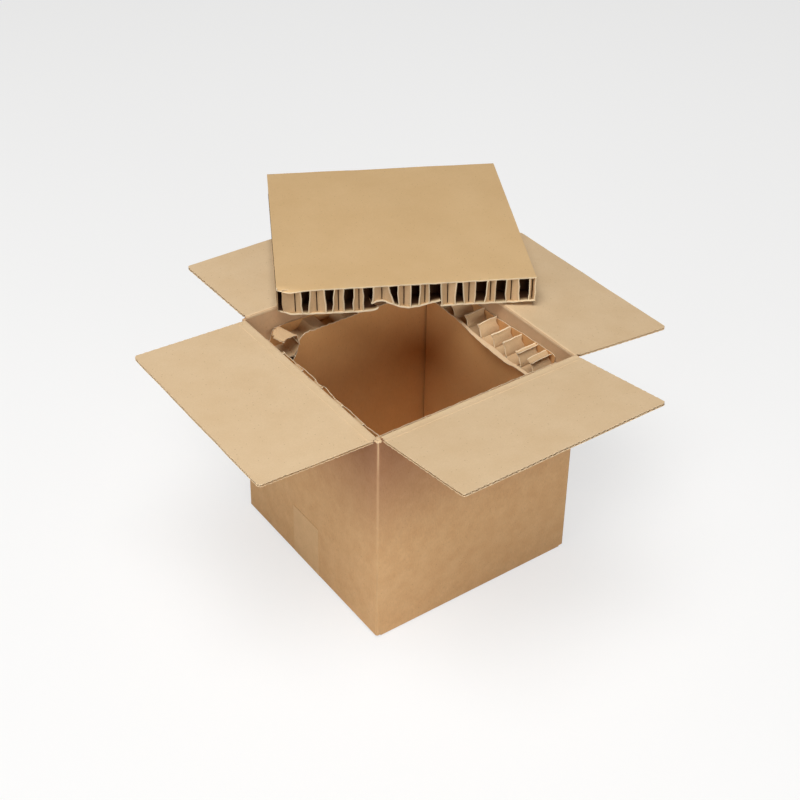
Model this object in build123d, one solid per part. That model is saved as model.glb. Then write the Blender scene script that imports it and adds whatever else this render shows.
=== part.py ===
"""Insulated shipping box.

A regular slotted carton of corrugated board stands open. Its four walls are
lined with paper honeycomb board, a honeycomb pad covers its floor, and a loose
honeycomb cover pad lies across the back of the open top. Each honeycomb board
is a core of glued paper ribbons between two facing sheets.

The frame: millimetres, +Z up, origin on the base under the middle of the
carton, +X along the front wall to the right, front wall at -Y.
"""
import os
from math import atan, cos, degrees, radians, sin, sqrt, tan

from build123d import *

# Carton, outside sizes
length = 250              # along X, the front and back walls
depth = 254               # along Y, the side walls
height = 260              # base to the score of the front and back flaps
board = 3                 # corrugated board
base_spread = 2.2         # how much further out each wall stands at its foot
corner_radius = 2.5       # outside of the upright folds
inner_corner_radius = 1
rim_radius = 0.9          # rounded score along the top of a wall
bottom_fold_radius = 2.4
slot = 4                  # a flap stops this far short of each upright fold
seam_gap = 1              # between two bottom flaps that meet
flap_length = depth / 2   # outer wall face to the free edge, so a pair meets
flap_corner_radius = 4
flap_gap = 0.2            # from the wall to the rounded root of a flap

# Flap angles above level, in degrees, as the box stands open
front_flap_angle = 8.2
back_flap_angle = -1.2
left_flap_angle = 1.6
right_flap_angle = -5.9

# Paper tape along the bottom seam and up both side walls
tape_width = 50
tape_thickness = 0.3
tape_rise = 69
tape_offset = 6.5         # towards the back
tape_bend_radius = 4

# Paper honeycomb board
panel = 27                # whole board
sheet = 0.8               # one facing sheet
cell = 28                 # across the flats of a cell
ribbon = 0.8              # wall between two cells
fit_gap = 0.5             # from a liner or the floor pad to the carton
liner_end_gap = 2         # side liner to the face of a front or back liner
front_liner_height = 202
back_liner_height = 202
left_liner_height = 191
right_liner_height = 206
right_inner_height = 190  # its inner sheet is torn off below the ends of its ribbons
torn_across = 51          # torn top left corner of the back liner's inner sheet
torn_down = 37

# Cover pad lying on the back wall and the back flap
pad_side = 276
pad_x = 96.5              # middle of the pad
pad_y = 163.9
pad_turn = -28.8          # degrees about the pad's own normal
pad_rest_gap = 0.3
crushed_length = 14       # worn front left corner
crushed_depth = 5
tear_from_left = 112      # torn place in the front edge of the bottom sheet
tear_width = 22
tear_depth = 10

side_height = height - board          # the side flaps are scored one board lower
floor = 2 * board                     # outer and inner bottom flaps
lean_top = side_height - board        # above this the walls stand upright
lean = base_spread / (lean_top - board)
inner_length = length - 2 * board
inner_depth = depth - 2 * board
liner_base = floor + panel
core_thickness = panel - 2 * sheet
cell_side = cell / sqrt(3)
column_pitch = 1.5 * cell_side
hinge_offset = flap_gap + board / 2   # hinge axis outside the wall face
front_liner_width = inner_length - 2 * fit_gap
side_liner_width = inner_depth - 2 * (fit_gap + panel + liner_end_gap)


def block(x_from, x_to, y_from, y_to, z_from, z_to):
    """A box between two corners."""
    size = (x_to - x_from, y_to - y_from, z_to - z_from)
    middle = ((x_from + x_to) / 2, (y_from + y_to) / 2, (z_from + z_to) / 2)
    return Pos(*middle) * Box(*size)


def leaning_block(top_x, top_y, radius):
    """What four walls enclose: they lean in from their foot, with rounded folds between them."""
    foot = Pos(0, 0, board) * Rectangle(top_x + 2 * base_spread, top_y + 2 * base_spread)
    leaning = extrude(foot, lean_top - board, taper=degrees(atan(lean)))
    upright = Pos(0, 0, lean_top) * extrude(Rectangle(top_x, top_y), side_height - lean_top)
    walls = leaning + upright
    folds = walls.edges().filter_by(lambda edge: abs((edge @ 1 - edge @ 0).Z) > board / 2)
    return fillet(folds, radius)


def wall_rim(half, width, score):
    """Top of the wall at +X between its two slots, rounded at the score."""
    reach = width / 2 - slot
    strip = block(half - board, half, -reach, reach, lean_top, score)
    return fillet(strip.edges().filter_by(Axis.Y).group_by(Axis.Z)[-1], rim_radius)


def tape_profile(grow, z_from):
    """Outline of the carton's end view with its bent lower corners."""
    foot = length / 2 + lean * (lean_top - z_from) + grow
    head = length / 2 + lean * (lean_top - tape_rise) + grow
    outline = make_face(Polyline((-foot, z_from), (foot, z_from), (head, tape_rise),
                                 (-head, tape_rise), close=True))
    low_corners = outline.vertices().group_by(Axis.Y)[0]
    return fillet(low_corners, tape_bend_radius + grow)


def tape_band(profile):
    """A profile in the XZ plane, given the width and place of the tape."""
    plane = Plane.XZ.offset(-tape_offset)
    return extrude(plane * profile, tape_width / 2, both=True)


def make_tape():
    """One strip, folded up at both ends of the bottom seam."""
    outer = tape_profile(tape_thickness, 0)
    inner = tape_profile(0, tape_thickness)
    return tape_band(outer) - tape_band(inner)


def make_carton():
    """Walls and closed bottom flaps, folded from one sheet."""
    outside = leaning_block(length, depth, corner_radius)
    inside = leaning_block(inner_length, inner_depth, inner_corner_radius)
    body = outside - inside
    for turn, half, width, score in ((0, length / 2, depth, side_height),
                                     (90, depth / 2, length, height)):
        reach = width / 2 - slot
        raw_top = block(half - board, half, -reach, reach, lean_top, side_height)
        for wall_turn in (turn, turn + 180):
            body = body - Rot(0, 0, wall_turn) * raw_top
            body = body + Rot(0, 0, wall_turn) * wall_rim(half, width, score)

    outer_reach = length / 2 - slot
    foot = depth / 2 + base_spread
    outer_flaps = block(-outer_reach, outer_reach, -foot, foot, 0, board)
    folds = outer_flaps.edges().filter_by(Axis.X).group_by(Axis.Z)[0]
    outer_flaps = fillet(folds, bottom_fold_radius)
    outer_flaps = outer_flaps - block(-length, length, -seam_gap / 2, seam_gap / 2, 0, board)
    inner_reach = depth / 2 - slot
    inner_flaps = block(-length / 2, length / 2, -inner_reach, inner_reach, board, floor)
    inner_flaps = inner_flaps - block(-seam_gap / 2, seam_gap / 2, -depth, depth, board, floor)
    body = body + outer_flaps + inner_flaps

    band = block(-length, length, tape_offset - tape_width / 2, tape_offset + tape_width / 2,
                 -board, tape_rise)
    return body - (band - tape_band(tape_profile(0, tape_thickness)))


def make_flap(width):
    """A flap in its own frame: hinge axis along Y, free edge towards +X."""
    reach = flap_length - hinge_offset
    plate = block(0, reach, -width / 2, width / 2, -board / 2, board / 2)
    free_corners = plate.edges().filter_by(Axis.Z).group_by(Axis.X)[-1]
    plate = fillet(free_corners, flap_corner_radius)
    root = Rot(90, 0, 0) * Cylinder(board / 2, width)
    return plate + root


def place_flap(flap, turn, half, score, angle):
    """Carry a flap to the wall at +X turned by an angle about Z, and open it."""
    axis_place = Pos(half + hinge_offset, 0, score - board / 2)
    return Rot(0, 0, turn) * axis_place * Rot(0, -angle, 0) * flap


def honeycomb(run, rise, first_column, first_row):
    """Core of glued ribbons, with its ribbons along X and its cells open along Z.

    The core is centred on Z = 0. One cell is centred at first_column and
    first_row, counted from the middle of the core, and the rest follow it.
    Bits of ribbon that the cut edges set free fall away.
    """
    columns = int(run / column_pitch) + 3
    rows = int(rise / cell) + 3
    places = []
    for column in range(-columns, columns + 1):
        x = first_column + column * column_pitch
        shift = cell / 2 if column % 2 else 0
        for row in range(-rows, rows + 1):
            y = first_row + shift + row * cell
            if abs(x) < run / 2 + cell_side and abs(y) < rise / 2 + cell / 2:
                places.append((x, y))
    hole_radius = (cell - ribbon) / sqrt(3)
    holes = Sketch() + [Pos(x, y) * RegularPolygon(hole_radius, 6) for x, y in places]
    face = Rectangle(run, rise) - holes
    core = extrude(face, core_thickness / 2, both=True)
    return core.solids().sort_by(SortBy.VOLUME)[-1]


def liner(width, liner_height, inner_height, ribbons_up=False):
    """One wall liner, as three named solids, standing in the XY plane.

    X runs along the wall, Y is up from the liner's foot and Z points outwards
    from the inner face, so that one frame places the three together. The
    ribbons run along the wall, or up it in a board that was cut the other way.
    """
    half = width / 2
    if ribbons_up:
        core = Rot(0, 0, 90) * honeycomb(liner_height, width, liner_height / 2 - cell_side / 4, 0)
    else:
        core = honeycomb(width, liner_height, 0, liner_height / 2 - cell / 4)
    return {
        "inner_sheet": block(-half, half, 0, inner_height, 0, sheet),
        "core": Pos(0, liner_height / 2, panel / 2) * core,
        "outer_sheet": block(-half, half, 0, liner_height, panel - sheet, panel),
    }


def torn_corner(width, top):
    """What is torn from the inner sheet's top corner at +X, in a liner's frame."""
    right = width / 2
    torn = Polyline((right - torn_across, top), (right - 0.9 * torn_across, top - 0.4 * torn_down),
                    (right - 0.8 * torn_across, top - 0.75 * torn_down), (right, top - torn_down),
                    (right, top), close=True)
    return extrude(make_face(torn), sheet)


def liner_plane(turn, half):
    """Frame of a liner against the wall at +X turned by an angle about Z."""
    inner_face = half - board - fit_gap - panel
    out = (cos(radians(turn)), sin(radians(turn)), 0)
    along = (-out[1], out[0], 0)
    origin = (out[0] * inner_face, out[1] * inner_face, liner_base)
    return Plane(origin=origin, x_dir=along, z_dir=out)


def cover_pad():
    """The loose pad in its own frame: front edge towards -Y, underside at Z = 0."""
    half = pad_side / 2
    worn = Polyline((-half, -half), (-half + crushed_length, -half),
                    (-half, -half + crushed_depth), close=True)
    worn_corner = extrude(make_face(worn), panel)
    plate = block(-half, half, -half, half, 0, sheet) - worn_corner
    left = -half + tear_from_left
    torn = Polyline((left - tear_width / 2, -half), (left - tear_width / 4, -half + tear_depth),
                    (left + tear_width / 3, -half + tear_depth), (left + tear_width / 2, -half),
                    close=True)
    torn_place = extrude(make_face(torn), sheet)
    core = honeycomb(pad_side, pad_side, -half + column_pitch / 2, 0)
    core = Pos(0, 0, panel / 2) * Rot(0, 0, 90) * core - worn_corner
    return {
        "bottom_sheet": plate - torn_place,
        "core": core.solids().sort_by(SortBy.VOLUME)[-1],
        "top_sheet": Pos(0, 0, panel - sheet) * plate,
    }


def pad_plane():
    """Frame of the cover pad: parallel to the back flap and just above it."""
    slope = radians(back_flap_angle)
    normal = Vector(0, -sin(slope), cos(slope))
    level = Vector(cos(radians(pad_turn)), sin(radians(pad_turn)), 0)
    front_edge = level - normal * level.dot(normal)
    axis_y = depth / 2 + hinge_offset
    lift = (board / 2 + pad_rest_gap) / cos(slope)
    underside = height - board / 2 + lift + tan(slope) * (pad_y - axis_y)
    return Plane(origin=(pad_x, pad_y, underside), x_dir=front_edge, z_dir=normal)


def build():
    """All solids by node name."""
    parts = {"carton_body": make_carton(), "bottom_tape": make_tape()}

    long_flap = make_flap(length - 2 * slot)
    side_flap = make_flap(depth - 2 * slot)
    parts["right_flap"] = place_flap(side_flap, 0, length / 2, side_height, right_flap_angle)
    parts["back_flap"] = place_flap(long_flap, 90, depth / 2, height, back_flap_angle)
    parts["left_flap"] = place_flap(side_flap, 180, length / 2, side_height, left_flap_angle)
    parts["front_flap"] = place_flap(long_flap, 270, depth / 2, height, front_flap_angle)

    half_x = inner_length / 2 - fit_gap
    half_y = inner_depth / 2 - fit_gap
    parts["bottom_pad"] = block(-half_x, half_x, -half_y, half_y, floor, liner_base)

    right = liner(side_liner_width, right_liner_height, right_inner_height, ribbons_up=True)
    back = liner(front_liner_width, back_liner_height, back_liner_height)
    back["inner_sheet"] = back["inner_sheet"] - torn_corner(front_liner_width, back_liner_height)
    left = liner(side_liner_width, left_liner_height, left_liner_height)
    front = liner(front_liner_width, front_liner_height, front_liner_height)
    walls = (("right", 0, length / 2, right), ("back", 90, depth / 2, back),
             ("left", 180, length / 2, left), ("front", 270, depth / 2, front))
    for side, turn, half, layers in walls:
        plane = liner_plane(turn, half)
        for layer, solid in layers.items():
            parts[f"{side}_liner_{layer}"] = plane * solid

    plane = pad_plane()
    for layer, solid in cover_pad().items():
        parts[f"cover_pad_{layer}"] = plane * solid
    return parts


os.makedirs("parts", exist_ok=True)
for node, shape in build().items():
    export_step(shape, f"parts/{node}.step")
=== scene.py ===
"""The looks of the insulated shipping box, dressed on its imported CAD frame.

A carton of corrugated board stands open, lined with paper honeycomb board, with a loose
honeycomb pad lying turned across the back of its opening. Shapes are worked out in
millimetres, as numpy surfaces on two parameters, and put into the meshes in metres.
"""
from __future__ import annotations

import logging
from dataclasses import dataclass
from enum import Enum
from typing import Iterable, Sequence

import bpy
import numpy as np
from mathutils import Matrix

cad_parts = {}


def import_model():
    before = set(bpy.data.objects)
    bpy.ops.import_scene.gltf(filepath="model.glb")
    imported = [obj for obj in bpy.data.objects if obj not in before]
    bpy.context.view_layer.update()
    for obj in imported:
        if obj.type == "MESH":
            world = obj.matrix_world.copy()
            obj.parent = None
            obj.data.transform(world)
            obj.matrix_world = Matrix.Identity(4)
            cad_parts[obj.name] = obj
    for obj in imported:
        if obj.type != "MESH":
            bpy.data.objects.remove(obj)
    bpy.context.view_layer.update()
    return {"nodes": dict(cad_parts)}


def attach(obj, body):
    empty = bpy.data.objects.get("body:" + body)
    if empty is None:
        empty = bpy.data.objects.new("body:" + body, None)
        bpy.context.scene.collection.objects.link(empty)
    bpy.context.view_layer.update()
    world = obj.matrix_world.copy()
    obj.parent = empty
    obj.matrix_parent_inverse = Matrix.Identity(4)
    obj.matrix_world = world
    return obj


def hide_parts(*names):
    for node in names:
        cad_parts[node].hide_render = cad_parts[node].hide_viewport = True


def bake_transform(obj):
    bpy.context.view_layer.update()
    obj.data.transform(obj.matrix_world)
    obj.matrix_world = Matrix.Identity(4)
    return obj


log = logging.getLogger("shipping_box")

MM = 0.001
FOLD_ANGLE = 30.0       # degrees past which two faces meet in a crease
FULLY_CUT = 0.95        # mark above which a face is a cut edge and stays flat
TINT_STEP = 0.618       # steps through the tints so that neighbouring strips differ
Array = np.ndarray
Point = tuple[float, float, float]
Profile = tuple[tuple[float, float], ...]    # places along an edge, each with its height or width


def srgb(hex_colour: str) -> tuple[float, float, float, float]:
    """Turn an sRGB hex colour into linear red, green, blue and alpha.

    Args:
        hex_colour: Six hex digits after a hash sign.

    Returns:
        The linear colour, opaque.
    """
    parts = np.array([int(hex_colour[i:i + 2], 16) for i in (1, 3, 5)]) / 255
    linear = np.where(parts <= 0.04045, parts / 12.92, ((parts + 0.055) / 1.055) ** 2.4)
    return (*(float(part) for part in linear), 1.0)


def ripple(place: Array, seed: int, wavelength: float, size: float) -> Array:
    """Give the smooth uneven rise and fall of hand-cut or settled paper.

    The height is the sum of four sine waves, each shorter and lower than the last, whose
    phases come from a fixed seed.

    Args:
        place: Distances along the line, in millimetres.
        seed: Picks the phases.
        wavelength: The longest wave, in millimetres.
        size: The most that the line can leave its middle, in millimetres.

    Returns:
        The height at each place.
    """
    phases = np.random.default_rng(seed).uniform(0, 2 * np.pi, 4)
    lengths = wavelength * np.array([1.0, 0.61, 0.37, 0.19])
    shares = np.array([0.45, 0.28, 0.17, 0.10])
    waves = np.sin(2 * np.pi * np.asarray(place, float)[..., None] / lengths + phases)
    return size * (waves * shares).sum(axis=-1)


def ease(share: Array) -> Array:
    """Go from 0 to 1 with a level start and end: 3s^2 - 2s^3, with s held between 0 and 1."""
    held = np.clip(share, 0.0, 1.0)
    return held * held * (3 - 2 * held)


@dataclass(frozen=True)
class Placement:
    """A right-handed frame that carries a piece to its place in the box's frame."""

    origin: Point
    x_dir: Point
    y_dir: Point

    def place(self, points: Array) -> Array:
        """Carry points from this frame into the box's frame.

        Args:
            points: Points in this frame, in millimetres, in the last axis of the array.

        Returns:
            The origin plus each coordinate times its axis, in millimetres.
        """
        x_axis = np.array(self.x_dir)
        y_axis = np.array(self.y_dir)
        return np.array(self.origin) + points @ np.stack([x_axis, y_axis, np.cross(x_axis, y_axis)])


@dataclass
class Shell:
    """One closed skin of quads, in millimetres, with its cut faces marked."""

    points: Array
    faces: Array
    cut: Array


def grid(x: Array, y: Array, z: Array) -> Array:
    """Stack three broadcastable coordinate fields into one rows x columns x 3 grid."""
    return np.stack(np.broadcast_arrays(x, y, z), axis=-1).astype(float)


def thin_sheet(middle: Array, thickness: float | Array, frayed: Array | None = None) -> Shell:
    """Give a surface the thickness of paper.

    The surface is moved by half the thickness along its normals, which are the cross
    products of its two tangents, to both sides, and the two skins are joined by a rim,
    whose faces are marked as cut.

    Args:
        middle: Middle surface, rows x columns x 3.
        thickness: Paper thickness in millimetres, one for all or one for each row and column.
        frayed: How far each face between two rows shows broken pale fibres, from 0 to 1, or takes
            painted shade deep in a cell, from 0 to -1; one line for both skins or one for each.

    Returns:
        The closed skin.
    """
    rows, columns = middle.shape[:2]
    normal = np.cross(np.gradient(middle, axis=0), np.gradient(middle, axis=1))
    normal /= np.linalg.norm(normal, axis=2, keepdims=True) + 1e-12
    half = np.broadcast_to(np.asarray(thickness, float), (rows, columns))[..., None] / 2
    upper = middle + normal * half
    lower = middle - normal * half
    index = np.arange(rows * columns).reshape(rows, columns)
    corners = [index[:-1, :-1], index[1:, :-1], index[1:, 1:], index[:-1, 1:]]
    top = np.stack(corners, axis=-1).reshape(-1, 4)
    bottom = top[:, ::-1] + rows * columns
    ring = np.concatenate([index[:-1, 0], index[-1, :-1], index[:0:-1, -1], index[0, :0:-1]])
    ahead = np.roll(ring, -1)
    low = rows * columns
    rim = np.stack([ring + low, ahead + low, ahead, ring], axis=-1)
    cut = np.zeros(len(top) * 2 + len(rim))
    cut[len(top) * 2:] = 1.0
    if frayed is not None:
        each = np.broadcast_to(np.atleast_2d(frayed)[..., None], (2, rows - 1, columns - 1))
        cut[:len(top) * 2] = each.ravel()
    points = np.concatenate([upper.reshape(-1, 3), lower.reshape(-1, 3)])
    return Shell(points, np.concatenate([top, bottom, rim]), cut)


def build_piece(name: str, shells: Sequence[Shell], placement: Placement | None = None) -> bpy.types.Object:
    """Mark the strips of a facing sheet: pale near its cut front edge, painted shade deep inside the core.
        shells: The skins.
        placement: Where they go, or None when they are in the box's frame already.

    Returns:
        The new object, at the origin.
    """
    starts = np.cumsum([0] + [len(shell.points) for shell in shells[:-1]])
    points = np.concatenate([shell.points for shell in shells])
    if placement is not None:
        points = placement.place(points)
    faces = np.concatenate([shell.faces + start for shell, start in zip(shells, starts)])
    cut = np.concatenate([shell.cut for shell in shells])
    tint = np.concatenate([np.full(len(shell.faces), number * TINT_STEP % 1.0)
                           for number, shell in enumerate(shells)])
    mesh = bpy.data.meshes.new(name)
    mesh.from_pydata((points * MM).tolist(), [], faces.tolist())
    mesh.polygons.foreach_set("use_smooth", cut < FULLY_CUT)
    # The cut mark is negative deep in a cell, where the material paints shade
    for label, values in (("cut", cut), ("tint", tint)):
        attribute = mesh.attributes.new(label, "FLOAT", "FACE")
        attribute.data.foreach_set("value", values.astype(np.float32))
    mesh.set_sharp_from_angle(angle=np.radians(FOLD_ANGLE))
    mesh.update()
    piece = bpy.data.objects.new(name, mesh)
    bpy.context.scene.collection.objects.link(piece)
    log.info("%s: %d faces", name, len(faces))
    return piece


def add_node(tree: bpy.types.NodeTree, kind: str, settings: dict | None = None,
             values: dict | None = None, links: dict | None = None) -> bpy.types.Node:
    """Add one shader node.

    Args:
        tree: The material's node tree.
        kind: The node's type name.
        settings: Properties of the node.
        values: Values of its unlinked inputs, by name or number.
        links: Output sockets that feed its inputs, by name or number.

    Returns:
        The node.
    """
    node = tree.nodes.new(kind)
    for name, value in (settings or {}).items():
        setattr(node, name, value)
    for name, value in (values or {}).items():
        node.inputs[name].default_value = value
    for name, socket in (links or {}).items():
        tree.links.new(socket, node.inputs[name])
    return node


@dataclass(frozen=True)
class PaperFinish:
    """Brown kraft paper, made from recycled pulp on a paper machine.

    To the eye it is matt, slightly mottled where the pulp lies thicker, with fine fibres along
    the machine direction and a few dark flecks. A cut edge is paler, because the broken fibres
    stand up and scatter light.
    """

    name: str
    colour: str
    mottle: str
    cut: str
    mottle_size: float = 28.0        # millimetres across a cloud of pulp
    mottle_share: float = 0.55
    fibre: float = 1.3               # millimetres: a real fibre is finer and wouldn't show
    fibre_stretch: Point = (1.0, 1.0, 0.35)
    grain: float = 0.10              # how far fibres lighten or darken the colour
    fleck: float = 0.012             # share of the surface that is dark fleck
    fleck_gap: float = 5.5           # millimetres from fleck to fleck
    fleck_colour: str = "#6A4A2C"
    fleck_strength: float = 0.28
    roughness: float = 0.86
    tint: float = 0.0                # how far one strip differs from the next
    relief: float = 0.25             # bump strength
    specular: float = 0.22
    deep: str = "#553620"            # painted shade: the same paper deep in a cell, drawn darker

    def base(self, tree: bpy.types.NodeTree,
             where: bpy.types.NodeSocket) -> tuple[bpy.types.NodeSocket, bpy.types.NodeSocket]:
        """Make the paper's colour and its fibre pattern.

        Args:
            tree: The material's node tree.
            where: Object coordinates.

        Returns:
            The colour socket and the fibre pattern socket.
        """
        clouds = add_node(tree, "ShaderNodeTexNoise", {}, {"Scale": 1 / (self.mottle_size * MM),
                          "Detail": 4.0, "Roughness": 0.62}, {"Vector": where})
        spread = add_node(tree, "ShaderNodeMapRange", {},
                          {"From Min": 0.32, "From Max": 0.68, "To Max": self.mottle_share},
                          {"Value": clouds.outputs["Fac"]})
        paper = add_node(tree, "ShaderNodeMix", {"data_type": "RGBA"},
                         {6: srgb(self.colour), 7: srgb(self.mottle)}, {0: spread.outputs[0]})
        drawn = add_node(tree, "ShaderNodeMapping", {}, {"Scale": self.fibre_stretch}, {0: where})
        fibres = add_node(tree, "ShaderNodeTexNoise", {}, {"Scale": 1 / (self.fibre * MM),
                          "Detail": 3.0, "Roughness": 0.7}, {"Vector": drawn.outputs[0]})
        shade = add_node(tree, "ShaderNodeMapRange", {},
                         {"From Min": 0.25, "From Max": 0.75, "To Min": 1 - self.grain,
                          "To Max": 1 + self.grain}, {"Value": fibres.outputs["Fac"]})
        grained = add_node(tree, "ShaderNodeVectorMath", {"operation": "SCALE"}, {},
                           {0: paper.outputs[2], "Scale": shade.outputs[0]})
        specks = add_node(tree, "ShaderNodeTexVoronoi", {"feature": "F1"},
                          {"Scale": 1 / (self.fleck_gap * MM), "Randomness": 1.0}, {"Vector": where})
        fleck = add_node(tree, "ShaderNodeMath", {"operation": "LESS_THAN"},
                         {1: 0.9 * self.fleck ** 0.5}, {0: specks.outputs["Distance"]})
        faint = add_node(tree, "ShaderNodeMath", {"operation": "MULTIPLY"}, {1: self.fleck_strength},
                         {0: fleck.outputs[0]})
        flecked = add_node(tree, "ShaderNodeMix", {"data_type": "RGBA"}, {7: srgb(self.fleck_colour)},
                           {0: faint.outputs[0], 6: grained.outputs[0]})
        return flecked.outputs[2], fibres.outputs["Fac"]

    def finish(self, tree: bpy.types.NodeTree, colour: bpy.types.NodeSocket,
               pattern: bpy.types.NodeSocket) -> None:
        """Lead the colour and the fibre relief into the shader.

        Args:
            tree: The material's node tree.
            colour: The paper's colour.
            pattern: The fibre pattern, for the relief.
        """
        shader = tree.nodes["Principled BSDF"]
        bump = add_node(tree, "ShaderNodeBump", {}, {"Strength": self.relief, "Distance": 0.2 * MM},
                        {"Height": pattern})
        shader.inputs["Roughness"].default_value = self.roughness
        shader.inputs["Specular IOR Level"].default_value = self.specular
        tree.links.new(colour, shader.inputs["Base Color"])
        tree.links.new(bump.outputs[0], shader.inputs["Normal"])

    def material(self) -> bpy.types.Material:
        """Make the material of a piece built from thin sheets.

        Returns:
            The material, with pale cut edges, painted shade deep in cells and a slight difference from
            strip to strip.
        """
        made = bpy.data.materials.new(self.name)
        made.use_nodes = True
        tree = made.node_tree
        where = add_node(tree, "ShaderNodeTexCoord").outputs["Object"]
        colour, pattern = self.base(tree, where)
        strip = add_node(tree, "ShaderNodeAttribute", {"attribute_name": "tint"})
        shift = add_node(tree, "ShaderNodeMapRange", {}, {"To Min": 1 - self.tint,
                         "To Max": 1 + self.tint}, {"Value": strip.outputs["Fac"]})
        tinted = add_node(tree, "ShaderNodeVectorMath", {"operation": "SCALE"}, {},
                          {0: colour, "Scale": shift.outputs[0]})
        rim = add_node(tree, "ShaderNodeAttribute", {"attribute_name": "cut"})
        cell_painted_shade = add_node(tree, "ShaderNodeMath", {"operation": "MULTIPLY", "use_clamp": True},
                          {1: -1.0}, {0: rim.outputs["Fac"]})
        # Painted shade: the real core has finer cells, which let less light in, so deep paper is drawn
        # darker
        shaded = add_node(tree, "ShaderNodeMix", {"data_type": "RGBA"}, {7: srgb(self.deep)},
                          {0: cell_painted_shade.outputs[0], 6: tinted.outputs[0]})
        edged = add_node(tree, "ShaderNodeMix", {"data_type": "RGBA"}, {7: srgb(self.cut)},
                         {0: rim.outputs["Fac"], 6: shaded.outputs[2]})
        self.finish(tree, edged.outputs[2], pattern)
        return made


# Kraft testliner, pressed smooth on the paper machine: matt and even, the pale inside face
BOARD_INSIDE = PaperFinish("kraft_testliner_inside", "#DCC09A", "#D3B48B", "#EAD2AE",
                           mottle_size=35, grain=0.05, relief=0.2)
# The same face on the walls inside the box, drawn darker and browner: painted shade
WALL_INSIDE_SHADED = PaperFinish("kraft_testliner_inside_painted_shade", "#CDAA84", "#C29C76", "#EAD2AE",
                          mottle_size=35, grain=0.05, relief=0.2)
# The outside liner has more recycled pulp, so it is browner, cloudier and more grainy
BOARD_OUTSIDE = PaperFinish("kraft_testliner_outside", "#D2AA7C", "#C89D6E", "#E2C6A0",
                            mottle_size=18, mottle_share=0.8, grain=0.09)
# Facing paper of the honeycomb board: yellower kraft, calendered, so smoother, with long clouds
FACING = PaperFinish("calendered_kraft_facing", "#D7B586", "#CFAB7A", "#EFDCBA",
                     mottle_size=60, fibre=1.6, grain=0.04, roughness=0.78, relief=0.12)
# The liners' sheets are the same board's other face: unbleached, so a deeper warm brown
LINING = PaperFinish("kraft_lining_sheet", "#D3A069", "#CB955C", "#DEC8A6",
                     mottle_size=50, fibre=1.6, grain=0.05, roughness=0.82, relief=0.12)
# Recycled fluting paper, slit into ribbons: speckled, uneven from strip to strip, pale where torn
RIBBON = PaperFinish("recycled_fluting_ribbon", "#CDAE86", "#C2A078", "#EED9B6",
                     mottle_size=14, grain=0.06, tint=0.07)
# Gummed kraft tape, glazed on its outer face: a little yellower and smoother than the board
TAPE = PaperFinish("gummed_kraft_tape", "#D6B082", "#CAA476", "#E6CCA4",
                   mottle_size=12, grain=0.05, roughness=0.62, relief=0.1)


@dataclass
class CornerMask:
    """Marks how near a point of the carton is to an upright fold."""

    half_x: float = 125.0
    half_y: float = 127.0
    reach: float = 2.6
    lean: float = 2.2 / 251     # how far the walls spread for each millimetre down
    lean_top: float = 254.0     # height at which they stand at half_x and half_y

    def build(self, tree: bpy.types.NodeTree, where: bpy.types.NodeSocket) -> bpy.types.NodeSocket:
        """Make the mask: 1 on the fold, falling to 0 over the reach.

        Args:
            tree: The material's node tree.
            where: Object coordinates.

        Returns:
            The mask's socket.
        """
        mirrored = add_node(tree, "ShaderNodeVectorMath", {"operation": "ABSOLUTE"}, {}, {0: where})
        parts = add_node(tree, "ShaderNodeSeparateXYZ", {}, {}, {0: where})
        spread = add_node(tree, "ShaderNodeMath", {"operation": "MULTIPLY_ADD"},
                          {1: -self.lean, 2: self.lean * self.lean_top * MM}, {0: parts.outputs[2]})
        shift = add_node(tree, "ShaderNodeCombineXYZ", {}, {}, {0: spread.outputs[0], 1: spread.outputs[0]})
        corner = add_node(tree, "ShaderNodeVectorMath", {"operation": "ADD"},
                          {1: (self.half_x * MM, self.half_y * MM, 0)}, {0: shift.outputs[0]})
        apart = add_node(tree, "ShaderNodeVectorMath", {"operation": "SUBTRACT"}, {},
                         {0: mirrored.outputs[0], 1: corner.outputs[0]})
        level = add_node(tree, "ShaderNodeVectorMath", {"operation": "MULTIPLY"},
                         {1: (1.0, 1.0, 0.0)}, {0: apart.outputs[0]})
        length = add_node(tree, "ShaderNodeVectorMath", {"operation": "LENGTH"}, {},
                          {0: level.outputs[0]})
        mask = add_node(tree, "ShaderNodeMapRange", {"interpolation_type": "SMOOTHSTEP"},
                        {"From Max": self.reach * MM, "To Min": 1.0, "To Max": 0.0},
                        {"Value": length.outputs["Value"]})
        return mask.outputs[0]


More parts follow.
